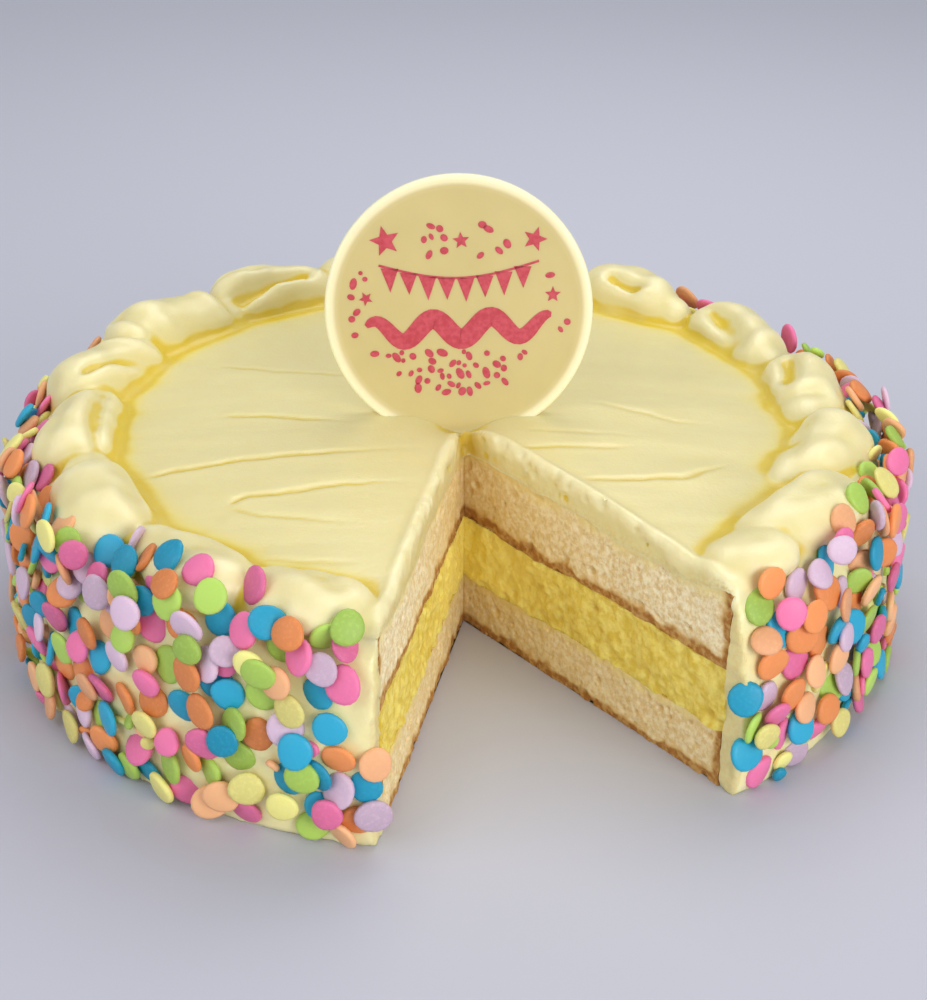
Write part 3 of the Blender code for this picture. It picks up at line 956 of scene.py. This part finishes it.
def food_print():
    look = Finish("print", 0.45)
    look.start(look.remap(look.texture(1.2), 0.3, 0.7), PRINT_DARK, PRINT_PALE)
    return look.done()


def sugar(name, colour):
    """A sprinkle's colour, from a darker to a lighter one by its tint."""
    look = Finish(f"sprinkle_{name}", 0.5, 0.2, 1.0)
    darker = tuple(c * 0.76 for c in colour)
    lighter = tuple(min(c * 1.12 + 0.02, 0.97) for c in colour)
    look.start(look.painted("tint"), darker, lighter)
    look.lay(look.remap(look.texture(0.8), 0.45, 0.75, 0.3), lighter)
    return look.done(look.texture(0.7), 0.05)


def build_sponge(name, finish, radius, low, high, recess, rows, inner_shade, soak):
    """A sponge with crust at its foot and side. The soak is icing drawn into its top: the scale and seed
    of its edge, then where it fades, from and to, each with its swing."""
    made = layer(name, finish, radius, low, high, recess, SPONGE_STEP, rows)
    points = vertices(made)
    foot = points[:, 2] - low(points[:, :2])
    thick = np.maximum(4.0 + 2.0 * fractal(points, 4.0, 500), 1.4)
    under = np.clip(1 - foot / thick, 0, 1)
    edge = radius - np.hypot(points[:, 0], points[:, 1])
    side = np.clip(1 - edge / (0.75 * thick), 0, 1)
    # Painted shade: a share over the whole sponge, then more towards the cut's tip
    inside, tip = inner_shade
    paint(made, "inner", np.clip(inside + tip * (1 - ramp(from_tip(points), 5, 75)), 0, 1))
    paint(made, "crust", np.maximum(under, side))
    scale, seed, first, first_swing, last, last_swing = soak
    smear = fractal(points, scale, seed)
    below = high(points[:, :2]) - points[:, 2]
    fade = ramp(below, first + first_swing * smear, last + last_swing * smear)
    paint(made, "butter", 0.8 * (1 - fade))
    # Painted shade: hollow is how deep a point lies in a pore, painted darker
    paint(made, "hollow", hollowness(made, 16))
    return made


def build_filling(finish):
    """The filling, which shares its wavy faces with the sponges so that no gap shows between them."""
    made = layer("curd_layer", finish, FILLING_RADIUS, lower_level, filling_level, curd_recess, CURD_STEP, 32)
    # Painted shade: hollow is how deep a point lies in a hollow, painted darker
    paint(made, "hollow", hollowness(made, 16))
    # Painted light: inner grows towards the cut's tip, where the filling is painted lighter
    paint(made, "inner", 1 - ramp(from_tip(vertices(made)), 3, 45))
    return made


def plaque_frame():
    """Matrix from the plaque's own plane, its face towards -Y, to its place."""
    lean = math.radians(PLAQUE_LEAN)
    centre = Vector(PLAQUE_FOOT) + Vector((0, math.sin(lean), math.cos(lean))) * PLAQUE_RADIUS
    return Matrix.Translation(centre) @ Matrix.Rotation(math.radians(90 - PLAQUE_LEAN), 4, "X")


def place(points, matrix):
    points = np.asarray(points, float)
    turn = np.array(matrix.to_3x3())
    return points @ turn.T + np.array(matrix.translation)


def build_plaque(finish):
    """The plaque: a dished face in a smooth rounded rim."""
    half = PLAQUE_THICKNESS / 2
    profile = [(0, -half), (10, -half), (20, -half), (PLAQUE_RADIUS - 1.6, -half)]
    for step in range(9):
        turn = math.pi * (step / 8) - math.pi / 2
        middle = (half - PLAQUE_EDGE) * (1 if turn > 0 else -1)
        reach = PLAQUE_RADIUS - PLAQUE_EDGE + PLAQUE_EDGE * math.cos(turn)
        profile.append((reach, middle + PLAQUE_EDGE * math.sin(turn)))
    for inward, drop in ((1.8, 0.03), (2.6, 0.22), (3.6, PLAQUE_DISH)):
        profile.append((PLAQUE_RADIUS - inward, half - drop))
    profile += [(r, half - PLAQUE_DISH) for r in (24, 16, 8, 0)]
    disc = turned("plaque_disc", profile, PLAQUE_SIDES, finish)
    points = vertices(disc)
    radius = np.hypot(points[:, 0], points[:, 1])
    # Painted highlight: rim marks the band round the plaque's edge, painted lighter
    paint(disc, "rim", ramp(radius, PLAQUE_RADIUS - 3.0, PLAQUE_RADIUS - 1.2))
    set_vertices(disc, place(points, plaque_frame()))
    return disc


def ribbon(path, widths):
    """A flat stroke along a path in the plaque's plane: its points up one edge and back down the other."""
    way = np.gradient(path, axis=0)
    way /= np.linalg.norm(way, axis=1)[:, None]
    aside = np.column_stack((-way[:, 1], way[:, 0])) * widths[:, None] / 2
    return np.concatenate((path + aside, (path - aside)[::-1]))


def dot(x, y, radius, stretch, turn):
    angles = np.linspace(0, 2 * np.pi, 12, endpoint=False)
    points = np.column_stack((radius * stretch * np.cos(angles), radius * np.sin(angles)))
    cos, sin = math.cos(turn), math.sin(turn)
    return points @ np.array(((cos, sin), (-sin, cos))) + (x, y)


def star(x, y, radius, turn):
    outline = []
    for number in range(2 * STAR_POINTS):
        reach = radius if number % 2 == 0 else radius * STAR_NOTCH
        angle = turn + math.pi / 2 + math.pi * number / STAR_POINTS
        outline.append((x + reach * math.cos(angle), y + reach * math.sin(angle)))
    return np.array(outline)


def dots():
    """Dots scattered over the design, clear of the bunting, the streamer, the stars and each other."""
    draw = random.Random(DOT_SEED)
    placed = [(x, y, reach + MARK_GAP) for x, y, reach, _ in STARS]
    made = []
    for _ in range(DOT_TRIES):
        angle, far = draw.uniform(0, 2 * math.pi), draw.uniform(5, 25.5)
        x, y = far * math.cos(angle), far * math.sin(angle) * 0.8
        if -0.8 < y < 12.5 and abs(x) < 20.5 or abs(y + 4.6) < 5.2 and abs(x) < 23:
            continue
        if any(math.hypot(x - px, y - py) < gap + MARK_GAP for px, py, gap in placed):
            continue
        size = draw.uniform(0.5, 0.9)
        placed.append((x, y, size))
        made.append(dot(x, y, size, draw.uniform(1, 1.7), draw.uniform(0, 3)))
        if len(placed) > MOST_MARKS:
            break
    return made


def print_outlines():
    """Outlines of the printed design: bunting on a string, a waving streamer, stars and scattered dots."""
    t = np.linspace(0, 1, LINE_POINTS)
    rise = STRING_HEIGHT - STRING_SAG * np.sin(np.pi * t) + STRING_TILT * t
    string = np.column_stack(((t - 0.5) * STRING_SPAN, rise))
    shapes = [ribbon(string, np.full(LINE_POINTS, STRING_WIDTH))]
    for number in range(FLAGS):
        x, y = string[FIRST_FLAG + FLAG_STEP * number]
        tip = (x + 0.2, y - FLAG_DROP + 0.5 * (number % 2))
        shapes.append(np.array(((x - FLAG_HALF, y), (x + FLAG_HALF, y - 0.1), tip)))
    wave = WAVE_SWING * np.sin(2 * np.pi * WAVE_TURNS * t + 0.6) + 2.0 * t + WAVE_HEIGHT
    widths = WAVE_WIDTH * (0.3 + np.sin(np.pi * t) ** 0.5)
    shapes.append(ribbon(np.column_stack(((t - 0.5) * WAVE_SPAN, wave)), widths))
    return shapes + [star(*sizes) for sizes in STARS] + dots()


def build_print(finish):
    """The printed design as thin raised shapes on the plaque's face."""
    face = PLAQUE_THICKNESS / 2 - PLAQUE_DISH
    heights = (face - PRINT_DEPTH, face + PRINT_RISE)
    points, faces = [], []
    for outline in print_outlines():
        start, count = len(points), len(outline)
        points += [(x, y, height) for height in heights for x, y in outline]
        if count == 2 * LINE_POINTS:
            for step in range(LINE_POINTS - 1):
                quad = (step, step + 1, count - 2 - step, count - 1 - step)
                faces.append([start + count + i for i in quad])
                faces.append([start + i for i in reversed(quad)])
        else:
            points += [(*np.mean(outline, axis=0), height) for height in heights]
        for step in range(count):
            after = (step + 1) % count
            if count != 2 * LINE_POINTS:
                faces.append([start + 2 * count, start + after, start + step])
                faces.append([start + 2 * count + 1, start + count + step, start + count + after])
            faces.append([start + step, start + after, start + count + after, start + count + step])
    return make("plaque_print", place(points, plaque_frame()), faces, finish, smooth=False)


def sprinkle_map(tree):
    """Radius of the icing's side in a grid of arc length and height, nan where there is none."""
    columns = int(AROUND / MAP_STEP)
    rows = int(MAP_TOP / MAP_STEP)
    found = np.full((columns, rows), np.nan)
    far = RAY_FROM * MM
    for column in range(columns):
        out = direction(math.degrees((column + 0.5) * MAP_STEP / MAP_RADIUS))
        towards = Vector((-out[0], -out[1], 0))
        for row in range(rows):
            start = Vector((out[0] * far, out[1] * far, (row + 0.5) * MAP_STEP * MM))
            hit, _, _, away = tree.ray_cast(start, towards, RAY_REACH * MM)
            if hit:
                found[column, row] = RAY_FROM - away / MM
    return found


class Side:
    """The cake's side as a map that sprinkles are laid on, each on top of those before it."""

    def __init__(self, ground):
        self.ground = ground
        self.hard = np.full(ground.shape, -np.inf)
        self.shown = np.zeros(ground.shape, bool)
        self.columns, self.rows = ground.shape

    def patch(self, arc, height, reach):
        """Grid cells within reach of a point, with their offsets."""
        span = int(reach / MAP_STEP) + 1
        column, row = int(arc / MAP_STEP), int(height / MAP_STEP)
        across = np.arange(column - span, column + span + 1)
        up = np.arange(max(row - span, 0), min(row + span + 1, self.rows))
        du = (across + 0.5) * MAP_STEP - arc
        dz = (up + 0.5) * MAP_STEP - height
        return np.ix_(across % self.columns, up), du[:, None] + 0 * dz, 0 * du[:, None] + dz

    def lay(self, arc, height, radius, thickness, lean, sink, landmark):
        """Place of a disc laid at a point: its inner face's radius, its slopes and the cells that it
        covers, or None if it won't fit."""
        cells, du, dz = self.patch(arc, height, radius)
        ground, hard = self.ground[cells], self.hard[cells]
        near = du * du + dz * dz <= radius * radius
        known = near & np.isfinite(ground)
        if known.sum() < KNOWN_SHARE * near.sum():
            return None
        surface = np.fmax(ground - sink, hard)[known]
        fit = np.column_stack((np.ones(known.sum()), du[known], dz[known]))
        _, slope_u, slope_z = np.linalg.lstsq(fit, surface, rcond=None)[0]
        slope_u = np.clip(slope_u, -MOST_SLOPE_U, MOST_SLOPE_U) + lean[0]
        slope_z = np.clip(slope_z, -MOST_SLOPE_Z, MOST_SLOPE_Z) + lean[1]
        rise = slope_u * du + slope_z * dz
        disc = du * du + dz * dz + rise * rise <= radius * radius
        if not (disc & known).any() or not landmark and self.shown[cells][disc].mean() > SHOWN_SHARE:
            return None
        lie = (ground - rise)[disc & known]
        steep = math.hypot(*lean)
        ground_mean = lie.mean()
        clear = np.quantile(lie, CLEAR_SHARE) - thickness * (0.8 + 3 * max(steep - STEEP_FROM, 0))
        solid = disc & np.isfinite(hard)
        hard_base = np.quantile((hard - rise)[solid], HARD_SHARE) if solid.any() else -np.inf
        base = max(ground_mean - sink, clear, hard_base)
        outermost = base + np.abs(rise[disc]).max() + thickness * math.sqrt(1 + slope_u**2 + slope_z**2)
        base -= max(outermost - SPRINKLE_REACH, 0)
        deepest = ground_mean - BURIED * thickness * (1 + 2 * steep)
        if base < hard_base - HARD_GIVE or base < deepest:
            return None
        return base, slope_u, slope_z, cells, disc, rise

    def keep(self, laid, thickness, landmark):
        base, slope_u, slope_z, cells, disc, rise = laid
        top = base + rise + thickness * math.sqrt(1 + slope_u**2 + slope_z**2)
        patch = self.hard[cells]
        patch[disc] = np.maximum(patch[disc], top[disc])
        self.hard[cells] = patch
        if landmark:
            patch = self.shown[cells]
            patch[disc] = True
            self.shown[cells] = patch


def sprinkle_points(arc, height, base, slope_u, slope_z, radius, thickness, draw):
    """Points of one sprinkle: a disc with soft edges, a little out of round and bent."""
    angle = math.degrees(arc / MAP_RADIUS)
    out = np.append(direction(angle), 0)
    side = np.array((-out[1], out[0], 0))
    up = np.array((0, 0, 1.0))
    first = side + slope_u * out
    second = up + slope_z * out
    first /= np.linalg.norm(first)
    second -= first * (second @ first)
    second /= np.linalg.norm(second)
    face = np.cross(first, second)
    if face @ out < 0:
        face = -face
    centre = out * base + up * height + face * thickness / 2
    turns = np.linspace(0, 2 * np.pi, SPRINKLE_SIDES, endpoint=False)
    phase = [draw.uniform(0, 2 * math.pi) for _ in range(3)]
    outline = 1 + 0.05 * np.cos(2 * turns + phase[0]) + 0.025 * np.cos(3 * turns + phase[1])
    bend, bend_turn = draw.uniform(-0.03, 0.03), phase[2]
    half = thickness / 2
    points = []
    for share, lift in SPRINKLE_SECTION:
        ring = turns if share else turns[:1]
        reach = radius * share * (outline if share else outline[:1])
        x, y = reach * np.cos(ring), reach * np.sin(ring)
        warp = bend * (x * math.cos(bend_turn) + y * math.sin(bend_turn)) ** 2
        z = half * lift + warp
        points.append(centre + x[:, None] * first + y[:, None] * second + z[:, None] * face)
    return np.concatenate(points)


def sight_line(pixel):
    """The camera's place and the direction in which it sees a point of the picture."""
    depth = FOCAL_MM / SENSOR_MM * PICTURE[1]
    ray = Vector((pixel[0] - PICTURE[0] / 2, PICTURE[1] / 2 - pixel[1], -depth))
    eye = bpy.context.scene.camera.matrix_world
    return eye.translation, (eye.to_3x3() @ ray).normalized()


def landmark_spots(tree):
    """Colour, arc and height of the sprinkles that the picture shows clearly."""
    spots = []
    for colour, pixels in LANDMARKS.items():
        for pixel in pixels:
            hit = tree.ray_cast(*sight_line(pixel))[0]
            if hit:
                arc = MAP_RADIUS * (math.atan2(hit.x, -hit.y) % (2 * math.pi))
                spots.append((colour, arc, hit.z / MM))
    return spots


def distances(taken, arc, height):
    """How far a spot on the side is from each one that is taken."""
    taken = np.array(taken)
    off = np.abs(taken[:, 0] - arc)
    return np.hypot(np.minimum(off, AROUND - off), taken[:, 1] - height)


def free_spot(draw, side, tried):
    """Of some random spots on the side, the one farthest from the spots tried so far."""
    best, widest = None, -1.0
    for _ in range(SPRINKLE_TRIES):
        arc = draw.uniform(0, AROUND)
        angle = (math.degrees(arc / MAP_RADIUS) + 180) % 360 - 180
        top = next(height for first, last, height in SPRINKLE_TOPS if first <= angle < last)
        height = draw.uniform(2.0, top)
        cell = side.ground[int(arc / MAP_STEP) % side.columns, int(height / MAP_STEP)]
        if not np.isfinite(cell) or cell < LEAST_SIDE_RADIUS:
            continue
        spot = np.array([direction(angle) * MAP_RADIUS])
        edge = min((abs(deep[0]) for along, deep in cut_place(spot) if along[0] > 0), default=BARE_EDGE)
        if height > BARE_HEIGHT and edge < BARE_EDGE:
            continue
        gap = distances(tried, arc, height).min()
        if gap > widest:
            best, widest = (arc, height), gap
    return best


def fresh_colour(draw, spot, tried, shades):
    """A colour that the nearest sprinkles don't have."""
    near = {shades[number] for number in np.argsort(distances(tried, *spot))[:3]}
    names = [name for name in COLOUR_WEIGHTS if name not in near]
    return draw.choices(names, [COLOUR_WEIGHTS[name] for name in names])[0]


def sprinkle_order(draw, side, known, tried, shades):
    """Each sprinkle to be laid: colour, place, size, how far it leans, and whether it is a known one."""
    for colour, *spot in known:
        yield colour, spot, draw.uniform(*LANDMARK_SIZES), LANDMARK_LEAN, True
    for _ in range(SPRINKLES):
        spot = free_spot(draw, side, tried)
        if spot:
            colour = fresh_colour(draw, spot, tried, shades)
            size = draw.uniform(*(DISC_SIZES if draw.random() > SCRAP_SHARE else SCRAP_SIZES))
            yield colour, spot, size, FLAT_LEAN if draw.random() > STEEP_SHARE else STEEP_LEAN, False


def build_sprinkles(icing):
    """Sprinkles laid over the side, one piece for each colour."""
    bm = bmesh.new()
    bm.from_mesh(icing.data)
    tree = BVHTree.FromBMesh(bm)
    bm.free()
    side = Side(sprinkle_map(tree))
    draw = random.Random(SPRINKLE_SEED)
    heaps = {name: ([], [], []) for name in COLOURS}
    tried, shades = [], []
    for colour, spot, size, spread, known in sprinkle_order(draw, side, landmark_spots(tree), tried, shades):
        thickness = draw.uniform(*THICKNESSES)
        spot = (spot[0], max(spot[1], size * 1.08 + 0.3))
        for _ in range(5):
            lean = (draw.gauss(0, spread), draw.gauss(0, spread))
            laid = side.lay(*spot, size, thickness, lean, draw.uniform(*SINKS), known)
            if laid:
                break
            spread *= 0.6
        tried.append(spot)
        shades.append(colour if laid else None)
        if not laid:
            continue
        side.keep(laid, thickness, known)
        points, faces, tints = heaps[colour]
        made = sprinkle_points(*spot, *laid[:3], size, thickness, draw)
        faces += closed_faces(len(SPRINKLE_SECTION) - 2, SPRINKLE_SIDES, len(tints))
        points.append(made)
        tints += [draw.random()] * len(made)
    built = []
    for name, (points, faces, tints) in heaps.items():
        thing = make(f"sprinkles_{name}", np.concatenate(points), faces, sugar(name, COLOURS[name]))
        paint(thing, "tint", tints)
        built.append(thing)
    return built


def build_camera():
    data = bpy.data.cameras.new("camera")
    data.lens = FOCAL_MM
    data.clip_end = 20
    eye = add("camera", data)
    pitch = Matrix.Rotation(math.radians(CAMERA_PITCH), 4, "X")
    roll = Matrix.Rotation(math.radians(CAMERA_ROLL), 4, "Z")
    eye.matrix_world = Matrix.Translation(Vector(CAMERA_PLACE) * MM) @ pitch @ roll
    bpy.context.scene.camera = eye


def build_lamp(name, place_mm, size_mm, watts, colour):
    """A soft light aimed at the cake's middle."""
    data = bpy.data.lights.new(name, "AREA")
    data.shape = "RECTANGLE"
    data.size, data.size_y = size_mm[0] * MM, size_mm[1] * MM
    data.energy = watts
    data.color = colour
    lamp = add(name, data)
    spot = Vector(place_mm) * MM
    aim = Vector(LAMP_AIM) * MM - spot
    lamp.matrix_world = Matrix.Translation(spot) @ aim.to_track_quat("-Z", "Y").to_matrix().to_4x4()


def build_stage():
    """Pale floor, painted darker at the front and lighter towards the back as a painted gradient of light,
    ambient light and soft studio lights.
    """
    world = bpy.data.worlds.new("studio")
    world.use_nodes = True
    back = world.node_tree.nodes["Background"]
    back.inputs["Color"].default_value = (*SKY, 1)
    back.inputs["Strength"].default_value = AMBIENT
    bpy.context.scene.world = world
    look = Finish("floor", 0.6)
    depth = look.node("ShaderNodeSeparateXYZ", {"Vector": look.place()}).outputs["Y"]
    # Painted light: darker at the front, lighter towards the back
    look.start(look.remap(depth, -0.3, 1.2), FLOOR_NEAR, FLOOR_FAR)
    points = [(x * FLOOR_REACH, y * FLOOR_REACH, 0) for x, y in ((-1, -1), (1, -1), (1, 1), (-1, 1))]
    floor = make("floor", points, [(0, 1, 2, 3)], look.done(), smooth=False)
    for name, sizes in LAMPS.items():
        build_lamp(name, *sizes)
    bpy.context.scene.view_settings.view_transform = "Standard"


def main():
    build_camera()
    build_stage()
    icing = icing_body(buttercream())
    crumbs = sponge()
    # The pair after each sponge's rows is its painted shade: a share over the whole layer, then more towards
    # the cut's tip
    lower = build_sponge(
        "cake_lower", crumbs, LOWER_RADIUS, foot_level, lower_level, lower_recess, 38,
        (0.3, 0.15), (4.0, 530, 0.2, 0.8, 2.2, 1.8),
    )
    upper = build_sponge(
        "cake_upper", crumbs, UPPER_RADIUS, filling_level, upper_level, upper_recess, 48,
        (0.0, 0.5), (5.0, 520, 0.3, 1.0, 3.2, 2.5),
    )
    filling = build_filling(curd())
    plaque = build_plaque(white_chocolate())
    design = build_print(food_print())
    sprinkles = build_sprinkles(icing)
    for piece in (icing, lower, upper, filling, plaque, design, *sprinkles):
        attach(piece, "root")
    stand_ins = (
        (icing, "icing", "buttercream"),
        (lower, "sponge_lower", "sponge"),
        (upper, "sponge_upper", "sponge"),
        (filling, "filling", "custard_filling"),
        (plaque, "plaque", "white_chocolate"),
    )
    for piece, solid, slot in stand_ins:
        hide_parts(solid)


main()
